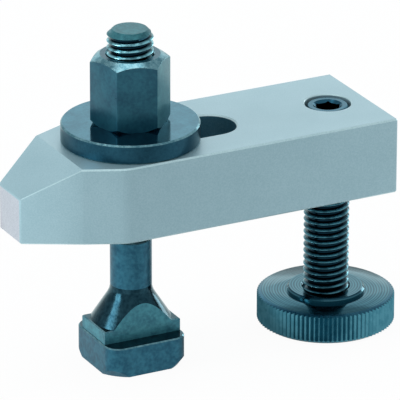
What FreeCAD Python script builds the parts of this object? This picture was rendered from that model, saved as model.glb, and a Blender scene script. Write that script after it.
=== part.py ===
"""Strap clamp for a 14 mm T-slot, with a support screw at its heel.

A tapered steel bar is pressed onto a workpiece by its nose. A T-slot bolt passes through the bar's
long slot and is tightened by a high hexagon nut on a thick washer. A screw tapped through the heel
holds that end up on a knurled foot.

Frame: millimetres, +Z up. The origin is the middle of the bolt head's underside, on the table.
+X runs along the bar to its heel, and the nose points along -X.
"""
import FreeCAD, Part
import os
from math import cos, pi, radians, sin, tan

V = FreeCAD.Vector
UP = V(0, 0, 1)
ORIGIN = V(0, 0, 0)
same_place = 1e-6

# Thread, the same on the bolt and on the support screw, drawn as plain cylinders
thread_diameter = 11.8
running_clearance = 0.05

# Clamp bar
bar_length = 100.0
bar_width = 36.0
bar_thickness = 20.0
bar_underside_height = 39.5
bar_edge_bevel = 0.4
nose_to_bolt = 33.5
nose_slope_length = 13.8
nose_height = 12.0
nose_width = 12.0
ridge_width = 26.8
taper_length = 24.0
taper_corner_radius = 9.5
slot_width = 14.0
slot_front_from_bolt = 6.0
slot_back_from_bolt = 22.0
slot_edge_bevel = 0.4
screw_from_heel = 10.5
screw_hole_countersink = 0.25

# T-slot bolt
bolt_length = 89.0
bolt_end_chamfer = 1.5
head_size = 22.0
head_height = 8.0
head_corner_radius = 4.0
head_chamfer_angle = 55.0
head_chamfer_diameter = 25.0
head_edge_bevel = 0.3
neck_width = 13.0
neck_length = 21.2
neck_slab_height = 3.4
neck_edge_bevel = 0.3
neck_cone_height = 7.8
neck_blend_reach = 1.6
shank_diameter = 10.6
shank_length = 13.8

# Washer and nut
washer_diameter = 35.0
washer_thickness = 5.0
washer_bore = 13.0
washer_bevel = 0.4
nut_across_flats = 17.7
nut_height = 18.0
nut_top_chamfer_angle = 33.0
nut_top_chamfer_diameter = 15.2
nut_base_chamfer_angle = 40.0
nut_base_chamfer_diameter = 18.0
nut_top_countersink = 0.3
nut_rest_angle = 45.0

# Support screw
screw_below_bar_top = 0.5
screw_top_chamfer = 0.9
screw_end_chamfer = 0.8
socket_across_flats = 6.0
socket_depth = 7.0
socket_mouth_bevel = 0.35

# Knurled foot
foot_diameter = 35.5
foot_thickness = 8.0
foot_top_bevel_reach = 1.1
foot_top_bevel_fall = 0.6
foot_base_bevel = 0.6
foot_floor_thickness = 2.5
foot_collar_diameter = 20.0
foot_collar_height = 1.3
foot_collar_bevel = 0.5
foot_countersink = 0.4
knurl_teeth = 90
knurl_depth = 0.6

# Places that follow from the sizes above
nose_x = -nose_to_bolt
ridge_x = nose_x + nose_slope_length
heel_x = nose_x + bar_length
taper_x = nose_x + taper_length
screw_x = heel_x - screw_from_heel
bar_top = bar_underside_height + bar_thickness
washer_top = bar_top + washer_thickness
nut_top = washer_top + nut_height
thread_radius = thread_diameter / 2
bore_radius = thread_radius + running_clearance


def outline(points):
    """Closed wire of straight lines through (x, y, z) points."""
    corners = [V(*point) for point in points]
    return Part.makePolygon(corners + corners[:1])


def turned(profile):
    """Solid of revolution about Z from (radius, z) points."""
    face = Part.Face(outline([(radius, 0, z) for radius, z in profile]))
    return face.revolve(ORIGIN, UP, 360)


def hexagon(across_flats, corner_angle, z, height):
    """Upright six-sided prism with one corner at corner_angle."""
    corner_radius = across_flats / 2 / cos(pi / 6)
    corners = []
    for turn in range(6):
        angle = radians(corner_angle + 60 * turn)
        corners.append((corner_radius * cos(angle), corner_radius * sin(angle), z))
    return Part.Face(outline(corners)).extrude(UP * height)


def upright_edges(shape, x):
    """Straight upright edges of a prism at this x."""
    found = []
    for edge in shape.Edges:
        box = edge.BoundBox
        if box.XLength + box.YLength < same_place and abs(box.XMin - x) < same_place:
            found.append(edge)
    return found


def slot_wire(width, z):
    """Round-ended outline of the bar's slot at height z."""
    radius = width / 2
    front, back = -slot_front_from_bolt, slot_back_from_bolt
    return Part.Wire([
        Part.LineSegment(V(front, -radius, z), V(back, -radius, z)).toShape(),
        Part.Arc(V(back, -radius, z), V(back + radius, 0, z), V(back, radius, z)).toShape(),
        Part.LineSegment(V(back, radius, z), V(front, radius, z)).toShape(),
        Part.Arc(V(front, radius, z), V(front - radius, 0, z), V(front, -radius, z)).toShape(),
    ])


def slot_mouth(z, outwards):
    """Bevel round one mouth of the slot. outwards is 1 at the top face and -1 underneath."""
    inner = slot_wire(slot_width, z - outwards * slot_edge_bevel)
    mouth = slot_wire(slot_width + 2 * slot_edge_bevel, z)
    return Part.makeLoft([inner, mouth], True, True)


def edge_wedge(start, end, normal_a, normal_b, size):
    """Wedge that bevels the straight edge between two flat faces with these outward normals."""
    along = (end - start).normalize()
    back_on_a = (normal_a * normal_a.dot(normal_b) - normal_b).normalize() * size
    back_on_b = (normal_b * normal_a.dot(normal_b) - normal_a).normalize() * size
    reach = 4 * size
    outside = (normal_a + normal_b).normalize() * reach
    overrun = along * reach
    corners = [start - overrun + offset for offset in (back_on_a, back_on_b, outside)]
    return Part.Face(outline(corners)).extrude(end - start + overrun * 2)


def make_clamp_bar():
    """Milled bar: plan taper to the nose, a sloping nose face, the slot and the tapped hole."""
    flank = [
        (nose_x, nose_width / 2),
        (ridge_x, ridge_width / 2),
        (taper_x, bar_width / 2),
        (heel_x, bar_width / 2),
    ]
    plan = [(x, y, bar_underside_height) for x, y in reversed(flank)]
    plan += [(x, -y, bar_underside_height) for x, y in flank]
    blank = Part.Face(outline(plan)).extrude(UP * bar_thickness)
    blank = blank.makeFillet(taper_corner_radius, upright_edges(blank, taper_x))
    rims = [edge for edge in blank.Edges if edge.BoundBox.ZLength < same_place]
    corners = upright_edges(blank, nose_x) + upright_edges(blank, heel_x)
    blank = blank.makeChamfer(bar_edge_bevel, rims + corners)

    nose_fall = bar_thickness - nose_height
    nose_top = bar_top - nose_fall
    slope = [
        (nose_x - nose_slope_length, -bar_width, nose_top - nose_fall),
        (ridge_x, -bar_width, bar_top),
        (nose_x - nose_slope_length, -bar_width, bar_top),
    ]
    bar = blank.cut(Part.Face(outline(slope)).extrude(V(0, 2 * bar_width, 0)))
    slope_normal = V(-nose_fall, 0, nose_slope_length).normalize()
    flank_spread = (ridge_width - nose_width) / 2
    for side in (-1, 1):
        flank_normal = V(-flank_spread, side * nose_slope_length, 0).normalize()
        tip = V(nose_x, side * nose_width / 2, nose_top)
        ridge_end = V(ridge_x, side * ridge_width / 2, bar_top)
        bar = bar.cut(edge_wedge(tip, ridge_end, slope_normal, flank_normal, bar_edge_bevel))
    tip_front = V(nose_x, -nose_width / 2, nose_top)
    tip_back = V(nose_x, nose_width / 2, nose_top)
    bar = bar.cut(edge_wedge(tip_front, tip_back, slope_normal, V(-1, 0, 0), bar_edge_bevel))

    slot = Part.Face(slot_wire(slot_width, bar_underside_height)).extrude(UP * bar_thickness)
    bar = bar.cut([slot, slot_mouth(bar_top, 1), slot_mouth(bar_underside_height, -1)])
    mouth_radius = bore_radius + screw_hole_countersink
    hole = turned([
        (0, bar_underside_height),
        (mouth_radius, bar_underside_height),
        (bore_radius, bar_underside_height + screw_hole_countersink),
        (bore_radius, bar_top - screw_hole_countersink),
        (mouth_radius, bar_top),
        (0, bar_top),
    ])
    hole.translate(V(screw_x, 0, 0))
    return bar.cut(hole)


def make_bolt_head():
    """Square head with rounded corners, its lower corners turned off to a cone."""
    half = head_size / 2
    head = Part.makeBox(head_size, head_size, head_height, V(-half, -half, 0))
    corners = upright_edges(head, -half) + upright_edges(head, half)
    head = head.makeFillet(head_corner_radius, corners)
    chamfer_radius = head_chamfer_diameter / 2
    chamfer_rise = (head_size - chamfer_radius) * tan(radians(head_chamfer_angle))
    head = head.common(turned([
        (0, 0),
        (chamfer_radius, 0),
        (head_size, chamfer_rise),
        (head_size, head_height + chamfer_rise),
        (0, head_height + chamfer_rise),
    ]))
    rim = [edge for edge in head.Edges if edge.BoundBox.ZMin > head_height - same_place]
    return head.makeChamfer(head_edge_bevel, rim)


def make_bolt_neck():
    """Flat-sided neck: a slab on the head, then a cone that its flats cut to arches."""
    slab_top = head_height + neck_slab_height
    slab = Part.makeBox(neck_length, neck_width, neck_slab_height,
                        V(-neck_length / 2, -neck_width / 2, head_height))
    rim = [edge for edge in slab.Edges if edge.BoundBox.ZMin > slab_top - same_place]
    slab = slab.makeChamfer(neck_edge_bevel, rim)

    base_radius = neck_length / 2 - neck_edge_bevel
    shank_radius = shank_diameter / 2
    slope = (base_radius - shank_radius) / neck_cone_height
    cone_top = slab_top + neck_cone_height
    blend_low = V(shank_radius + slope * neck_blend_reach, 0, cone_top - neck_blend_reach)
    blend_corner = V(shank_radius, 0, cone_top)
    blend_high = V(shank_radius, 0, cone_top + neck_blend_reach)
    blend = Part.BezierCurve()
    blend.setPoles([blend_low, blend_corner, blend_high])
    straight = Part.makePolygon([
        blend_high,
        V(0, 0, blend_high.z),
        V(0, 0, head_height),
        V(base_radius, 0, head_height),
        V(base_radius, 0, slab_top),
        blend_low,
    ])
    cone = Part.Face(Part.Wire(straight.Edges + [blend.toShape()])).revolve(ORIGIN, UP, 360)
    flats = Part.makeBox(head_size, neck_width, bolt_length, V(-head_size / 2, -neck_width / 2, 0))
    return [slab, cone.common(flats)]


def make_t_slot_bolt():
    """Forged bolt: square head, flat-sided neck with a coned shoulder, rolled shank and thread."""
    shank_radius = shank_diameter / 2
    thread_start = head_height + neck_slab_height + neck_cone_height + shank_length
    run_out = thread_radius - shank_radius
    stem = turned([
        (0, head_height),
        (shank_radius, head_height),
        (shank_radius, thread_start),
        (thread_radius, thread_start + run_out),
        (thread_radius, bolt_length - bolt_end_chamfer),
        (thread_radius - bolt_end_chamfer, bolt_length),
        (0, bolt_length),
    ])
    return make_bolt_head().fuse(make_bolt_neck() + [stem]).removeSplitter()


def make_washer():
    """Turned thick washer with its outer edges broken."""
    outer = washer_diameter / 2
    inner = washer_bore / 2
    return turned([
        (inner, bar_top),
        (outer - washer_bevel, bar_top),
        (outer, bar_top + washer_bevel),
        (outer, washer_top - washer_bevel),
        (outer - washer_bevel, washer_top),
        (inner, washer_top),
    ])


def make_hex_nut():
    """High hexagon nut, its corners turned off at both ends and its bore countersunk on top."""
    blank = hexagon(nut_across_flats, nut_rest_angle, washer_top, nut_height)
    reach = nut_across_flats
    top_radius = nut_top_chamfer_diameter / 2
    base_radius = nut_base_chamfer_diameter / 2
    top_fall = (reach - top_radius) * tan(radians(nut_top_chamfer_angle))
    base_rise = (reach - base_radius) * tan(radians(nut_base_chamfer_angle))
    nut = blank.common(turned([
        (0, washer_top),
        (base_radius, washer_top),
        (reach, washer_top + base_rise),
        (reach, nut_top - top_fall),
        (top_radius, nut_top),
        (0, nut_top),
    ]))
    return nut.cut(turned([
        (0, washer_top),
        (bore_radius, washer_top),
        (bore_radius, nut_top - nut_top_countersink),
        (bore_radius + nut_top_countersink, nut_top),
        (0, nut_top),
    ]))


def make_support_screw():
    """Headless screw with a hexagon socket, standing on the floor of the foot's bore."""
    top = bar_top - screw_below_bar_top
    screw = turned([
        (0, foot_floor_thickness),
        (thread_radius - screw_end_chamfer, foot_floor_thickness),
        (thread_radius, foot_floor_thickness + screw_end_chamfer),
        (thread_radius, top - screw_top_chamfer),
        (thread_radius - screw_top_chamfer, top),
        (0, top),
    ])
    socket = hexagon(socket_across_flats, 0, top - socket_depth, socket_depth)
    mouth_radius = socket_across_flats / 2 / cos(pi / 6)
    socket_mouth = turned([
        (0, top - 2 * socket_mouth_bevel),
        (mouth_radius - socket_mouth_bevel, top - 2 * socket_mouth_bevel),
        (mouth_radius + socket_mouth_bevel, top),
        (0, top),
    ])
    screw = screw.cut(socket.fuse(socket_mouth))
    screw.translate(V(screw_x, 0, 0))
    return screw


def knurled_prism(radius, z, height):
    """Disc with an evenly toothed rim, its crests at radius."""
    rim = []
    for tooth in range(knurl_teeth):
        crest = 2 * pi * tooth / knurl_teeth
        root = crest + pi / knurl_teeth
        rim.append((radius * cos(crest), radius * sin(crest), z))
        rim.append(((radius - knurl_depth) * cos(root), (radius - knurl_depth) * sin(root), z))
    return Part.Face(outline(rim)).extrude(UP * height)


def make_knurled_foot():
    """Turned foot with a straight knurl on its rim, a raised collar and a blind bore."""
    crest_radius = foot_diameter / 2
    root_radius = crest_radius - knurl_depth
    rim = knurled_prism(crest_radius, foot_base_bevel, foot_thickness - foot_base_bevel)
    rim = rim.common(turned([
        (0, 0),
        (crest_radius, 0),
        (crest_radius, foot_thickness - foot_top_bevel_fall),
        (crest_radius - foot_top_bevel_reach, foot_thickness),
        (0, foot_thickness),
    ]))
    collar_radius = foot_collar_diameter / 2
    collar_top = foot_thickness + foot_collar_height
    core = turned([
        (0, 0),
        (root_radius - foot_base_bevel, 0),
        (root_radius, foot_base_bevel),
        (collar_radius, foot_thickness / 2),
        (collar_radius, collar_top - foot_collar_bevel),
        (collar_radius - foot_collar_bevel, collar_top),
        (0, collar_top),
    ])
    bore = turned([
        (0, foot_floor_thickness),
        (bore_radius, foot_floor_thickness),
        (bore_radius, collar_top - foot_countersink),
        (bore_radius + foot_countersink, collar_top),
        (0, collar_top),
    ])
    foot = rim.fuse(core).cut(bore)
    foot.translate(V(screw_x, 0, 0))
    return foot


def main():
    os.makedirs("parts", exist_ok=True)
    pieces = {
        "clamp_bar": make_clamp_bar(),
        "t_slot_bolt": make_t_slot_bolt(),
        "washer": make_washer(),
        "hex_nut": make_hex_nut(),
        "support_screw": make_support_screw(),
        "knurled_foot": make_knurled_foot(),
    }
    for name, shape in pieces.items():
        box = shape.BoundBox
        print(name, "solids", len(shape.Solids), "valid", shape.isValid(), "volume", round(shape.Volume, 1),
              "x", round(box.XMin, 2), round(box.XMax, 2), "y", round(box.YMin, 2), round(box.YMax, 2),
              "z", round(box.ZMin, 2), round(box.ZMax, 2))
        shape.exportStep("parts/" + name + ".step")


main()
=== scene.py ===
"""Looks of the strap clamp, in metres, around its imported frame.

Each section is one piece, in the order in which the clamp is put together.
"""
from math import pi, radians, sqrt

import bpy
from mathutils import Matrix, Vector


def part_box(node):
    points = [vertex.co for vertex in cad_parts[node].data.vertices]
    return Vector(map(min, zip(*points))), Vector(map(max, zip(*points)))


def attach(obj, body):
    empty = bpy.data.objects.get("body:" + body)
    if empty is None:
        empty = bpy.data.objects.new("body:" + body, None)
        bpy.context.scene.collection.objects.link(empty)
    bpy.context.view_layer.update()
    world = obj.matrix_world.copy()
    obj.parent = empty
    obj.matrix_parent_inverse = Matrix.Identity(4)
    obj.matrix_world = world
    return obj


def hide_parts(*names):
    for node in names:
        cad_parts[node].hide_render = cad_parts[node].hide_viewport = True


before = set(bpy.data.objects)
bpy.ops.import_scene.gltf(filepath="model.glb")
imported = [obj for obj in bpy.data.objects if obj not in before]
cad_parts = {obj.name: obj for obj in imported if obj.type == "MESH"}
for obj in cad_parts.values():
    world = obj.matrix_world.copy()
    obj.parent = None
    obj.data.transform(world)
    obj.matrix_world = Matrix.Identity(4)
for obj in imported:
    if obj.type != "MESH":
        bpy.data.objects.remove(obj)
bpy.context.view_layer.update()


# Clamp bar. One length of steel is milled to a tapered nose, slotted for the bolt and tapped at the
# heel. Every edge is broken, and the whole bar is plated a pale satin grey.

mm = 0.001
bar_plating = (0.292, 0.452, 0.505, 1)
bar_plating_worn = (0.342, 0.506, 0.559, 1)
# The broken edges are painted lighter than the plating, as a painted highlight along them.
bar_edge_highlight = (0.420, 0.600, 0.640, 1)
bar_edge_highlight_pale = (0.520, 0.700, 0.730, 1)
# The slot's upright wall is painted darker, as painted shade inside the slot.
slot_wall_shade = (0.045, 0.160, 0.225, 1)
slot_wall_shade_pale = (0.075, 0.215, 0.285, 1)
bar_roughness = 0.42
bar_gloss_change = 0.10
bar_metal = 0.5
bar_cloud = 9 * mm
bar_grain = 0.35 * mm
bar_grain_stretch = (14, 1, 1)
bar_grain_depth = 0.04 * mm
bar_grain_strength = 0.10
tone_range = (0.30, 0.70)
# The nose's small end face is painted paler and pinker, as painted light from the left.
nose_end_painted_light = (0.400, 0.440, 0.490, 1)
nose_end_painted_light_pale = (0.500, 0.540, 0.590, 1)
bar_ridge_x = -19.7 * mm
bar_ridge_reach = 0.3 * mm
nose_edge_bevel = 0.20 * mm
nose_edge_lean = (0.30, 0.45)
slope_edge_run = Vector((0.785, 0.421, 0.455))
nose_end_x = -33.4 * mm
slot_half_width = 7 * mm
slot_front_x = -14 * mm
slot_back_x = 22 * mm
slot_margin = 0.5 * mm
bevel_lean = (0.52, 0.80)
upright_below = 0.1
facing_above = 0.95
parallel_above = 0.999
smooth_below = radians(32)
flat_within = radians(0.05)
same_place = 0.0005 * mm
near = 0.01 * mm


def deselect_all():
    """Leaves object mode with nothing selected."""
    if bpy.context.object and bpy.context.object.mode != "OBJECT":
        bpy.ops.object.mode_set(mode="OBJECT")
    bpy.ops.object.select_all(action="DESELECT")


def pick(piece):
    """Makes one piece the only selected and active one."""
    deselect_all()
    piece.select_set(True)
    bpy.context.view_layer.objects.active = piece


def edit_all(piece):
    """Opens a piece in edit mode with its whole mesh selected."""
    pick(piece)
    bpy.ops.object.mode_set(mode="EDIT")
    bpy.ops.mesh.select_all(action="SELECT")


def machined_copy(node, name):
    """Copy of a solid with its triangles joined up and its flat faces whole."""
    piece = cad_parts[node].copy()
    piece.data = piece.data.copy()
    piece.parent = None
    piece.name = name
    for key in list(piece.keys()):
        del piece[key]
    bpy.context.scene.collection.objects.link(piece)
    if piece.data.has_custom_normals:
        pick(piece)
        bpy.ops.mesh.customdata_custom_splitnormals_clear()
    edit_all(piece)
    bpy.ops.mesh.remove_doubles(threshold=same_place)
    bpy.ops.mesh.dissolve_limited(angle_limit=flat_within)
    deselect_all()
    return piece


def apply_modifier(piece, modifier):
    """Makes a modifier's result the piece's own mesh."""
    pick(piece)
    bpy.ops.object.modifier_apply(modifier=modifier.name)


def finish_piece(piece, node, slot, *materials):
    """Shades a piece, gives it its materials and lets it stand for its solid."""
    pick(piece)
    bpy.ops.object.shade_smooth_by_angle(angle=smooth_below)
    piece.data.materials.clear()
    for material in materials:
        piece.data.materials.append(material)
    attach(piece, node)
    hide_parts(node)
    deselect_all()


def finish_faces(piece, index, test):
    """Gives the faces whose centre and normal pass a test the piece's material at this index."""
    for face in piece.data.polygons:
        if test(face.center, face.normal):
            face.material_index = index


def is_bevel(centre, normal):
    """Whether a face lies about halfway between level and upright, as a broken edge does."""
    least, most = bevel_lean
    return least < abs(normal.z) < most


def is_upright(centre, normal):
    """Whether a face stands upright, as a rim or a wall does."""
    return abs(normal.z) < upright_below


class Flow:
    """One socket of a material's nodes, so that shader maths reads as arithmetic."""

    def __init__(self, tree, socket=None):
        self.tree = tree
        self.socket = socket

    def node(self, kind, inputs, out=0, **settings):
        """Adds a node with its settings and inputs, and returns one of its outputs."""
        made = self.tree.nodes.new(kind)
        for name, value in settings.items():
            setattr(made, name, value)
        for name, value in inputs.items():
            if isinstance(value, Flow):
                self.tree.links.new(value.socket, made.inputs[name])
            else:
                made.inputs[name].default_value = value
        return Flow(self.tree, made.outputs[out])

    def maths(self, operation, *values):
        """Adds a Math node on these values, and returns its output."""
        return self.node("ShaderNodeMath", dict(enumerate(values)), operation=operation)

    def __add__(self, other):
        return self.maths("ADD", self, other)

    def __radd__(self, other):
        return self.maths("ADD", other, self)

    def __sub__(self, other):
        return self.maths("SUBTRACT", self, other)

    def __rsub__(self, other):
        return self.maths("SUBTRACT", other, self)

    def __mul__(self, other):
        return self.maths("MULTIPLY", self, other)

    def __rmul__(self, other):
        return self.maths("MULTIPLY", other, self)

    def step(self, low, high):
        """Smooth rise from 0 to 1 as this value goes from low to high."""
        inputs = {"Value": self, "From Min": low, "From Max": high}
        return self.node("ShaderNodeMapRange", inputs, interpolation_type="SMOOTHSTEP")

    def blend(self, first, second):
        """Colour that goes from first to second as this value goes from 0 to 1."""
        return self.node("ShaderNodeMix", {0: self, 6: first, 7: second}, 2, data_type="RGBA")


def new_material(name):
    """Empty material, its first flow and its surface socket."""
    material = bpy.data.materials.new(name)
    material.use_nodes = True
    tree = material.node_tree
    tree.nodes.clear()
    surface = tree.nodes.new("ShaderNodeOutputMaterial").inputs["Surface"]
    return material, Flow(tree), surface


def noise(flow, size, place, detail=2.0, stretch=(1, 1, 1)):
    """Cloudy pattern whose patches are about size wide, drawn out along an axis by stretch."""
    scale = [1 / (size * share) for share in stretch]
    mapped = flow.node("ShaderNodeMapping", {"Vector": place, "Scale": scale})
    return flow.node("ShaderNodeTexNoise", {"Vector": mapped, "Scale": 1.0, "Detail": detail})


def satin_plating(name, dark, light):
    """Pale plating over ground steel: fine grain along the bar, faint clouds and soft gloss."""
    material, flow, surface = new_material(name)
    place = flow.node("ShaderNodeTexCoord", {}, 3)
    clouds = noise(flow, bar_cloud, place, 3.0)
    speckle = noise(flow, bar_grain, place, 1.0)
    ground = noise(flow, bar_grain, place, 2.0, bar_grain_stretch)
    tone = (0.3 * clouds + 0.7 * speckle).step(*tone_range)
    height = 0.5 * speckle + 0.5 * ground
    bump = flow.node("ShaderNodeBump", {
        "Strength": bar_grain_strength,
        "Distance": bar_grain_depth,
        "Height": height,
    })
    shader = flow.node("ShaderNodeBsdfPrincipled", {
        "Base Color": tone.blend(dark, light),
        "Metallic": bar_metal,
        "Roughness": bar_roughness + bar_gloss_change * (ground - 0.5),
        "Normal": bump,
    })
    flow.tree.links.new(shader.socket, surface)
    return material


def in_slot(centre, normal):
    """Whether a face is part of the slot's upright wall."""
    beside = abs(centre.y) < slot_half_width + near
    along = slot_front_x < centre.x < slot_back_x + slot_half_width + slot_margin
    return beside and along and is_upright(centre, normal)


def is_highlit_edge(centre, normal):
    """Whether a face of the bar is a broken edge, of its outline or of its sloping nose."""
    least, most = nose_edge_lean
    return is_bevel(centre, normal) or least < normal.z < most


def is_nose_end(centre, normal):
    """Whether a face is the small upright flat that ends the nose."""
    return centre.x < nose_end_x and normal.x < -facing_above


bar = machined_copy("clamp_bar", "milled_bar")
weights = bar.data.attributes.new("bevel_weight_edge", "FLOAT", "EDGE")
for edge in bar.data.edges:
    first, second = [bar.data.vertices[index].co for index in edge.vertices]
    run = (second - first).normalized()
    if second.x < 0 and Vector(map(abs, run)).dot(slope_edge_run) > parallel_above:
        weights.data[edge.index].value = 1
breaking = bar.modifiers.new("nose_edges", "BEVEL")
breaking.width = nose_edge_bevel
breaking.segments = 1
breaking.limit_method = "WEIGHT"
breaking.use_clamp_overlap = False
apply_modifier(bar, breaking)
finish_piece(bar, "clamp_bar", "bar_steel",
             satin_plating("satin_plating", bar_plating, bar_plating_worn),
             satin_plating("edge_highlight_plating", bar_edge_highlight, bar_edge_highlight_pale),
             satin_plating("slot_shade_plating", slot_wall_shade, slot_wall_shade_pale),
             satin_plating("nose_end_painted_light_plating", nose_end_painted_light, nose_end_painted_light_pale))
# Painted highlight on the broken edges.
finish_faces(bar, 1, is_highlit_edge)
# Painted shade on the slot's wall.
finish_faces(bar, 2, in_slot)
# Painted light on the nose's end face.
finish_faces(bar, 3, is_nose_end)
for edge in bar.data.edges:
    ends = [bar.data.vertices[index].co for index in edge.vertices]
    if all(abs(end.x - bar_ridge_x) < bar_ridge_reach for end in ends):
        edge.use_edge_sharp = True


# Washer. It is parted from round bar, turned on both faces, blackened and oiled, so its top face is
# nearly a mirror and shows the nut above it.

washer_dark = (0.022, 0.092, 0.140, 1)
washer_light = (0.040, 0.150, 0.210, 1)
# Broken edges of the black parts and the nut's chamfers are painted paler, as painted highlights.
black_edge_highlight = (0.062, 0.180, 0.230, 1)
black_edge_highlight_pale = (0.210, 0.390, 0.440, 1)
oil_tint = (0.90, 1.0, 1.0, 1)
# The washer's upright rim is painted darker than its faces, as painted shade.
washer_rim_shade_dark = (0.012, 0.052, 0.082, 1)
washer_rim_shade_light = (0.020, 0.080, 0.120, 1)
coat_roughness = 0.12
black_gloss_change = 0.10


def axis_distance(flow, place, centre_x):
    """Distance from an upright axis at centre_x."""
    x = flow.node("ShaderNodeSeparateXYZ", {0: place}, 0) - centre_x
    y = flow.node("ShaderNodeSeparateXYZ", {0: place}, 1)
    return flow.maths("SQRT", x * x + y * y)


def rings(flow, radius, pitch):
    """Fine uneven turning rings, from 0 in the furrows to 1 on the ridges."""
    wave = 0.5 + 0.5 * flow.maths("SINE", radius * (2 * pi / pitch))
    inputs = {"W": radius * (1 / pitch), "Scale": 0.7, "Detail": 2.0}
    uneven = flow.node("ShaderNodeTexNoise", inputs, noise_dimensions="1D")
    return 0.55 * wave + 0.45 * uneven


def blackened_steel(name, dark, light, roughness, grain, grain_depth, cloud_size=5 * mm, oil=0.0,
                    metal=1.0, centre_x=0.0, ring_pitch=mm, ring_depth=0.0, ring_tone=0.0):
    """Blackened steel: clouded dark blue-green under a film of oil, with grain and turning rings."""
    material, flow, surface = new_material(name)
    place = flow.node("ShaderNodeTexCoord", {}, 3)
    clouds = noise(flow, cloud_size, place, 3.0)
    speckle = noise(flow, grain, place, 2.0)
    tone = 0.55 * clouds + 0.45 * speckle
    height = speckle * (grain_depth / mm)
    if ring_depth:
        turned = rings(flow, axis_distance(flow, place, centre_x), ring_pitch)
        tone = (1 - ring_tone) * tone + ring_tone * turned
        height = height + turned * (ring_depth / mm)
    bump = flow.node("ShaderNodeBump", {"Strength": 1.0, "Distance": mm, "Height": height})
    shader = flow.node("ShaderNodeBsdfPrincipled", {
        "Base Color": tone.step(*tone_range).blend(dark, light),
        "Specular Tint": oil_tint,
        "Metallic": metal,
        "Roughness": roughness + black_gloss_change * (clouds - 0.5),
        "Coat Weight": oil,
        "Coat Roughness": coat_roughness,
        "Normal": bump,
    })
    flow.tree.links.new(shader.socket, surface)
    return material


washer = machined_copy("washer", "turned_washer")
washer_black = blackened_steel("turned_black", washer_dark, washer_light, roughness=0.13,
                               grain=0.6 * mm, grain_depth=0.0015 * mm,
                               ring_pitch=0.45 * mm, ring_depth=0.0008 * mm)
edge_highlight_black = blackened_steel("edge_highlight_black", black_edge_highlight, black_edge_highlight_pale, roughness=0.25,
                               grain=0.5 * mm, grain_depth=0.004 * mm, cloud_size=1.5 * mm)
rim_shade_black = blackened_steel("rim_shade_black", washer_rim_shade_dark, washer_rim_shade_light, roughness=0.30,
                            grain=0.6 * mm, grain_depth=0.004 * mm)
finish_piece(washer, "washer", "black_steel", washer_black, edge_highlight_black, rim_shade_black)
# Painted highlight on the washer's broken edges.
finish_faces(washer, 1, is_bevel)
# Painted shade on the rim.
finish_faces(washer, 2, is_upright)


# T-slot bolt. It is forged with its square head and flat-sided neck, then a right-hand thread is
# rolled on its upper half above a run-out groove. The blackened skin is uneven and smoothest on the
# neck's cone, and paler on the bolt's end. The cone and the ledge round the neck are painted near-black
# as painted shade, the neck's flats are painted paler as painted light, and the thread is painted dark
# in its grooves as painted shade.

thread_pitch = 1.75 * mm
thread_root = 4.85 * mm
thread_crest = 5.87 * mm
crest_round = 0.06 * mm
crest_flat = 0.07 * mm
thread_steps = 56
thread_weld = 0.002 * mm
turns_below = 2
turns_spare = 5
bolt_thread_low = 33.4 * mm
bolt_groove_radius = 0.6 * mm
bolt_end_chamfer_low = 87.4 * mm
bolt_head_top = 8 * mm
bolt_slab_top = 11.4 * mm
bolt_shoulder_top = 20.8 * mm
bolt_cone_lean = 0.02
bolt_edge_lean = 0.3
skirt_spread = 5
groove_steps_round = 96
groove_steps_across = 16
forged_dark = (0.010, 0.072, 0.120, 1)
forged_light = (0.030, 0.145, 0.210, 1)
# The neck's flats are painted paler, as painted light.
neck_flat_painted_light_dark = (0.022, 0.130, 0.180, 1)
neck_flat_painted_light_pale = (0.058, 0.255, 0.310, 1)
# The neck's cone and the ledge round the neck are painted near-black, as painted shade under the bar;
# the cone's low roughness is its smoother pressed finish.
shoulder_shade_dark = (0.006, 0.026, 0.040, 1)
shoulder_shade_light = (0.022, 0.068, 0.092, 1)
# Threads and the knurl are painted dark towards their roots, as painted shade in the grooves, and pale
# on their crests, paler in patches, as rubbed steel and as painted glints.
thread_groove_shade = (0.004, 0.018, 0.030, 1)
bolt_thread_light = (0.260, 0.600, 0.680, 1)
bolt_groove_shade_radius = thread_root + 0.25 * mm
crest_speckle = 0.8 * mm
crest_rub_and_glint_size = 2 * mm
crest_rub_and_glint_range = (0.35, 0.62)
crest_least = 0.45
crest_more = 0.80
crest_grain_depth = 0.003 * mm
crest_roughness = 0.20
bolt_end_dark = (0.014, 0.092, 0.118, 1)
bolt_end_light = (0.042, 0.190, 0.222, 1)


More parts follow.
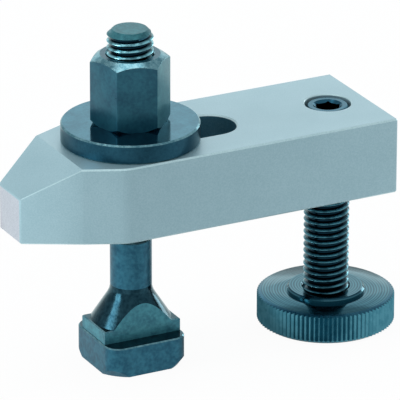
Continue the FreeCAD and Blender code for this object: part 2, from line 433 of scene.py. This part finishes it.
def thread_form(name, centre_x, low, high):
    """Closed rod with a rolled right-hand thread between two heights."""
    rise = thread_crest - crest_round - thread_root
    flank = rise / sqrt(3)
    shoulder = crest_round * sqrt(3)
    root = thread_pitch - 2 * flank - 2 * shoulder - crest_flat
    moves = [(0, root), (rise, flank), (crest_round, shoulder), (0, crest_flat),
             (-crest_round, shoulder), (-rise, flank)]
    deselect_all()
    start = low - turns_below * thread_pitch
    bpy.ops.mesh.primitive_plane_add(size=mm, location=(thread_root, 0, start))
    form = bpy.context.object
    form.name = name
    bpy.ops.object.transform_apply(location=True, rotation=True, scale=True)
    edit_all(form)
    bpy.ops.mesh.merge(type="CENTER")
    for outwards, upwards in moves:
        bpy.ops.mesh.extrude_region_move(TRANSFORM_OT_translate={"value": (outwards, 0, upwards)})
    deselect_all()
    winding = form.modifiers.new("winding", "SCREW")
    winding.axis = "Z"
    winding.angle = 2 * pi
    winding.screw_offset = thread_pitch
    winding.iterations = int((high - low) / thread_pitch) + turns_spare
    winding.steps = thread_steps
    winding.render_steps = thread_steps
    winding.use_merge_vertices = False
    apply_modifier(form, winding)
    edit_all(form)
    bpy.ops.mesh.remove_doubles(threshold=thread_weld)
    for height, upwards in ((low, 1), (high, -1)):
        bpy.ops.mesh.select_all(action="SELECT")
        bpy.ops.mesh.bisect(plane_co=(0, 0, height), plane_no=(0, 0, upwards), use_fill=True,
                            clear_inner=True, threshold=same_place)
    bpy.ops.mesh.select_all(action="SELECT")
    bpy.ops.mesh.normals_make_consistent(inside=False)
    bpy.ops.transform.translate(value=(centre_x, 0, 0))
    deselect_all()
    return form


def select_end(form, height):
    """Selects, in edit mode, the flat faces of a form that lie at one height."""
    bpy.ops.mesh.select_all(action="DESELECT")
    bpy.ops.object.mode_set(mode="OBJECT")
    for face in form.data.polygons:
        level = abs(face.normal.z) > facing_above
        face.select = level and abs(face.center.z - height) < near
    bpy.ops.object.mode_set(mode="EDIT")


def cut_with(piece, form, operation="INTERSECT"):
    """Keeps what a piece shares with the form, or takes the form away, and deletes the form."""
    cut = piece.modifiers.new("cut", "BOOLEAN")
    cut.operation = operation
    cut.solver = "EXACT"
    cut.object = form
    apply_modifier(piece, cut)
    bpy.data.objects.remove(form)


bolt = machined_copy("t_slot_bolt", "forged_bolt")
bolt_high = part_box("t_slot_bolt")[1]

# The form's lower end is spread into a wide skirt, so the cut leaves the bolt whole below its thread.
form = thread_form("bolt_thread", 0, bolt_thread_low, bolt_high.z + mm)
edit_all(form)
select_end(form, bolt_thread_low)
bpy.ops.mesh.extrude_region_move(TRANSFORM_OT_translate={"value": (0, 0, 0)})
bpy.ops.transform.resize(value=(skirt_spread, skirt_spread, 1), center_override=(0, 0, bolt_thread_low))
bpy.ops.mesh.extrude_region_move(TRANSFORM_OT_translate={"value": (0, 0, -bolt_thread_low - mm)})
deselect_all()
cut_with(bolt, form)
bpy.ops.mesh.primitive_torus_add(location=(0, 0, bolt_thread_low), major_radius=thread_crest,
                                 minor_radius=bolt_groove_radius,
                                 major_segments=groove_steps_round,
                                 minor_segments=groove_steps_across)
cut_with(bolt, bpy.context.object, "DIFFERENCE")


def rolled_black_painted_shade_and_glint(name, centre_x, dark, light, dark_radius, light_radius=thread_crest):
    """Rolled or knurled black steel: painted shade in its grooves, and crests pale and paler in
    patches, as rubbed steel and painted glints.
    """
    material, flow, surface = new_material(name)
    place = flow.node("ShaderNodeTexCoord", {}, 3)
    speckle = noise(flow, crest_speckle, place, 2.0)
    rub_and_glint = noise(flow, crest_rub_and_glint_size, place, 2.0).step(*crest_rub_and_glint_range)
    crest = axis_distance(flow, place, centre_x).step(dark_radius, light_radius)
    bump = flow.node("ShaderNodeBump", {
        "Strength": 1.0,
        "Distance": crest_grain_depth,
        "Height": speckle,
    })
    shader = flow.node("ShaderNodeBsdfPrincipled", {
        "Base Color": (crest * (crest_least + crest_more * rub_and_glint)).blend(dark, light),
        "Specular Tint": oil_tint,
        "Metallic": 1.0,
        "Roughness": crest_roughness + black_gloss_change * (speckle - 0.5),
        "Normal": bump,
    })
    flow.tree.links.new(shader.socket, surface)
    return material


def on_head_edge(centre, normal):
    """Whether a face is the broken edge round the head's top."""
    return centre.z < bolt_slab_top and normal.z > bolt_edge_lean and is_bevel(centre, normal)


def on_shoulder(centre, normal):
    """Whether a face is part of the neck's cone, or of the ledge round the neck on the head."""
    cone = bolt_slab_top < centre.z < bolt_shoulder_top and normal.z > bolt_cone_lean
    ledge = abs(centre.z - bolt_head_top) < near and normal.z > facing_above
    return cone or ledge


def on_thread(centre, normal):
    """Whether a face is part of the thread or of its run-out groove."""
    return bolt_thread_low - bolt_groove_radius < centre.z < bolt_end_chamfer_low


def on_neck(centre, normal):
    """Whether a face is one of the neck's four upright flats."""
    flat = max(abs(normal.x), abs(normal.y)) > parallel_above
    return flat and bolt_head_top < centre.z < bolt_shoulder_top


def on_bolt_end(centre, normal):
    """Whether a face is the bolt's end or the chamfer round it."""
    return centre.z >= bolt_end_chamfer_low and normal.z > bolt_edge_lean


forged_black = blackened_steel("forged_black", forged_dark, forged_light, roughness=0.42,
                               grain=0.9 * mm, grain_depth=0.020 * mm, cloud_size=2.5 * mm,
                               oil=0.12, metal=0.9)
shoulder_black = blackened_steel("shoulder_shade_black", shoulder_shade_dark, shoulder_shade_light, roughness=0.17,
                                 grain=0.7 * mm, grain_depth=0.006 * mm, cloud_size=2 * mm)
bolt_thread_black = rolled_black_painted_shade_and_glint("bolt_thread_black", 0, thread_groove_shade, bolt_thread_light,
                                 bolt_groove_shade_radius)
neck_black = blackened_steel("neck_flat_painted_light_black", neck_flat_painted_light_dark, neck_flat_painted_light_pale, roughness=0.50,
                             grain=0.9 * mm, grain_depth=0.014 * mm, cloud_size=2.5 * mm,
                             oil=0.12, metal=0.6)
end_black = blackened_steel("paler_end_black", bolt_end_dark, bolt_end_light, roughness=0.42,
                            grain=0.9 * mm, grain_depth=0.014 * mm, cloud_size=2.5 * mm, metal=0.6)
finish_piece(bolt, "t_slot_bolt", "black_steel", forged_black, edge_highlight_black, shoulder_black,
             bolt_thread_black, neck_black, end_black)
# Painted highlight on the head's broken edge.
finish_faces(bolt, 1, on_head_edge)
# Painted shade on the cone and the ledge.
finish_faces(bolt, 2, on_shoulder)
finish_faces(bolt, 3, on_thread)
# Painted light on the neck's flats.
finish_faces(bolt, 4, on_neck)
finish_faces(bolt, 5, on_bolt_end)


# High nut. It is cut from cold-drawn hexagon bar, its corners are turned off at both ends, and its
# bright flats are blackened. The turned chamfers and the flat on the right, facing front-right, are
# painted paler as painted highlights.

nut_roughness = 0.30
nut_dark = (0.008, 0.061, 0.098, 1)
nut_light = (0.018, 0.107, 0.150, 1)
right_flat_highlight_dark = (0.034, 0.142, 0.180, 1)
right_flat_highlight_pale = (0.070, 0.235, 0.270, 1)
nut_edge_round = 0.18 * mm
nut_edge_above = radians(50)
nut_chamfer_lean = (0.30, 0.95)
right_flat_side = (-0.9, -0.5)
right_flat_along = 0.3


def on_nut_chamfer(centre, normal):
    """Whether a face is part of the cone that trims the nut's corners."""
    least, most = nut_chamfer_lean
    return least < abs(normal.z) < most


def on_right_flat(centre, normal):
    """Whether a face is the flat on the right, painted paler as a painted highlight."""
    least, most = right_flat_side
    return normal.x > right_flat_along and least < normal.y < most


nut = machined_copy("hex_nut", "high_nut")
rounding = nut.modifiers.new("rounding", "BEVEL")
rounding.width = nut_edge_round
rounding.segments = 2
rounding.limit_method = "ANGLE"
rounding.angle_limit = nut_edge_above
apply_modifier(nut, rounding)
nut_black = blackened_steel("drawn_black", nut_dark, nut_light, roughness=nut_roughness,
                            grain=0.9 * mm, grain_depth=0.004 * mm, metal=0.6)
right_flat_black = blackened_steel("painted_highlight_flat_black", right_flat_highlight_dark, right_flat_highlight_pale,
                             roughness=nut_roughness, grain=0.9 * mm, grain_depth=0.004 * mm,
                             metal=0.6)
finish_piece(nut, "hex_nut", "black_steel", nut_black, edge_highlight_black, right_flat_black)
# Painted highlight on the nut's chamfers.
finish_faces(nut, 1, on_nut_chamfer)
# Painted highlight on the right flat.
finish_faces(nut, 2, on_right_flat)


# Support screw. It is threaded from end to end, with a hexagon socket pressed into its top, and it
# stands in the foot's bore.

screw_end_dark = (0.016, 0.074, 0.120, 1)
screw_end_light = (0.030, 0.122, 0.182, 1)
screw_thread_light = (0.085, 0.250, 0.310, 1)
screw_groove_shade_radius = thread_root + 0.45 * mm
screw_end_depth = 1 * mm

screw = machined_copy("support_screw", "threaded_screw")
screw_low, screw_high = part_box("support_screw")
screw_x = (screw_low.x + screw_high.x) / 2
form = thread_form("screw_thread", screw_x, screw_low.z - mm, screw_high.z + mm)
cut_with(screw, form)
screw_black = blackened_steel("screw_end_black", screw_end_dark, screw_end_light, roughness=0.25,
                              grain=0.5 * mm, grain_depth=0.004 * mm)
screw_thread_black = rolled_black_painted_shade_and_glint("screw_thread_black", screw_x, thread_groove_shade, screw_thread_light,
                                  screw_groove_shade_radius)
finish_piece(screw, "support_screw", "black_steel", screw_black, screw_thread_black)
finish_faces(screw, 1, lambda centre, normal: centre.z < screw_high.z - screw_end_depth)


# Foot. It is turned from round bar with a collar round its bore, knurled straight on its rim and
# blackened. The facing cut has left fine rings on its top.

foot_bevel_lean = (0.80, 0.95)
faced_dark = (0.012, 0.055, 0.085, 1)
faced_light = (0.046, 0.140, 0.178, 1)
# The knurl's groove colour is painted shade.
knurl_groove_shade = (0.034, 0.152, 0.208, 1)
knurl_light = (0.068, 0.225, 0.290, 1)
knurl_groove_shade_radius = 17.0 * mm
knurl_light_radius = 17.5 * mm


def on_foot_bevel(centre, normal):
    """Whether a face is part of the shallow bevel round the foot's top."""
    least, most = foot_bevel_lean
    return least < normal.z < most


foot = machined_copy("knurled_foot", "knurled_base")
faced_black = blackened_steel("faced_black", faced_dark, faced_light, roughness=0.13,
                              grain=0.6 * mm, grain_depth=0.002 * mm, centre_x=screw_x,
                              ring_pitch=0.70 * mm, ring_depth=0.003 * mm, ring_tone=0.75)
knurl_black = rolled_black_painted_shade_and_glint("knurled_black", screw_x, knurl_groove_shade, knurl_light, knurl_groove_shade_radius,
                           knurl_light_radius)
finish_piece(foot, "knurled_foot", "black_steel", faced_black, knurl_black, screw_black)
finish_faces(foot, 1, is_upright)
finish_faces(foot, 2, on_foot_bevel)


# Table. A plain pale surface stands in for the studio floor, and is white to the eye. The metal
# mirrors it, dimmed in front of the clamp by painted shade and under the bar by a painted shadow of the
# bar. A patch's shift brings its centre to the origin, and its reach says where it begins to fade and
# where it ends.

floor_width = 4.0
floor_drop = 0.01 * mm
floor_colour = (0.86, 0.88, 0.89, 1)
floor_white_share = 0.95
floor_mirror_share = 0.70
floor_glow = 1.15
floor_glow_dim = 0.50
floor_dim_shift = (-0.015, 0.190, 0)
floor_dim_reach = (0.06, 0.16)
under_bar_shadow_glow = 0.35
under_bar_shadow_shift = (-0.030, -0.005, 0)
under_bar_shadow_reach = (0.012, 0.034)

deselect_all()
bpy.ops.mesh.primitive_plane_add(size=floor_width, location=(0, 0, -floor_drop))
floor = bpy.context.object
floor.name = "studio_floor"
material, flow, surface = new_material("pale_floor")
place = flow.node("ShaderNodeTexCoord", {}, 3)
dim = axis_distance(flow, flow.node("ShaderNodeMapping", {0: place, 1: floor_dim_shift}), 0)
shade = axis_distance(flow, flow.node("ShaderNodeMapping", {0: place, 1: under_bar_shadow_shift}), 0)
glow = floor_glow_dim + dim.step(*floor_dim_reach) * (floor_glow - floor_glow_dim)
# Painted shadow of the bar under it, seen only in the metal.
glow = glow * (under_bar_shadow_glow + (1 - under_bar_shadow_glow) * shade.step(*under_bar_shadow_reach))
path = flow.tree.nodes.new("ShaderNodeLightPath")
seen = Flow(flow.tree, path.outputs["Is Camera Ray"])
mirrored = flow.maths("MAXIMUM", Flow(flow.tree, path.outputs["Is Glossy Ray"]),
                      Flow(flow.tree, path.outputs["Is Transmission Ray"]))
matt = flow.node("ShaderNodeBsdfDiffuse", {"Color": floor_colour})
white = flow.node("ShaderNodeEmission", {"Color": (1, 1, 1, 1), "Strength": seen + mirrored * glow})
share = seen * floor_white_share + (1 - seen) * mirrored * floor_mirror_share
mixed = flow.node("ShaderNodeMixShader", {0: share, 1: matt, 2: white})
flow.tree.links.new(mixed.socket, surface)
floor.data.materials.append(material)


# Studio light. A large soft box stands behind and above the clamp, smaller ones stand at its left
# and right and hang over it, and the room round them is a soft grey.

# Each box has its place, its width and height, and its radiance.
soft_boxes = {
    "back_box": ((0.38, 0.78, 0.40), (1.00, 0.60), 0.80),
    "left_box": ((-0.85, 0.05, 0.30), (0.40, 0.50), 6.50),
    "right_box": ((0.85, 0.25, 0.14), (0.40, 0.25), 4.20),
    "top_box": ((-0.05, 0.02, 0.98), (0.35, 0.80), 2.00),
}
aim = (0.018, 0, 0.040)
room_colour = (0.62, 0.66, 0.68, 1)

for name, (place, size, radiance) in soft_boxes.items():
    lamp = bpy.data.lights.new(name, "AREA")
    lamp.shape = "RECTANGLE"
    lamp.size, lamp.size_y = size
    lamp.energy = radiance * pi * size[0] * size[1]
    box = bpy.data.objects.new(name, lamp)
    box.location = place
    away = Vector(place) - Vector(aim)
    box.rotation_mode = "QUATERNION"
    box.rotation_quaternion = away.to_track_quat("Z", "Y")
    bpy.context.scene.collection.objects.link(box)

world = bpy.data.worlds.new("room")
bpy.context.scene.world = world
world.use_nodes = True
world.node_tree.nodes["Background"].inputs["Color"].default_value = room_colour
world.node_tree.nodes["Background"].inputs["Strength"].default_value = 1.0


# Camera. It looks down on the clamp from its nose end, a long way off, as in the photograph.

camera_yaw = radians(-27.15)
camera_pitch = radians(22.13)
camera_roll = radians(0.08)
camera_distance = 1.3188
camera_lens = 470.6
camera_target = (18 * mm, 0, 45 * mm)
camera_aside = 1.375 * mm
camera_down = 4.826 * mm

camera = bpy.data.objects.new("camera", bpy.data.cameras.new("camera"))
camera.data.lens = camera_lens
camera.rotation_euler = (pi / 2 - camera_pitch, 0, camera_yaw)
camera.rotation_euler.rotate_axis("Z", camera_roll)
turn = camera.rotation_euler.to_matrix()
right, up, back = turn.col
camera.location = back * camera_distance + right * camera_aside - up * camera_down
camera.location += Vector(camera_target)
bpy.context.scene.collection.objects.link(camera)
bpy.context.scene.camera = camera
bpy.context.scene.view_settings.view_transform = "Standard"
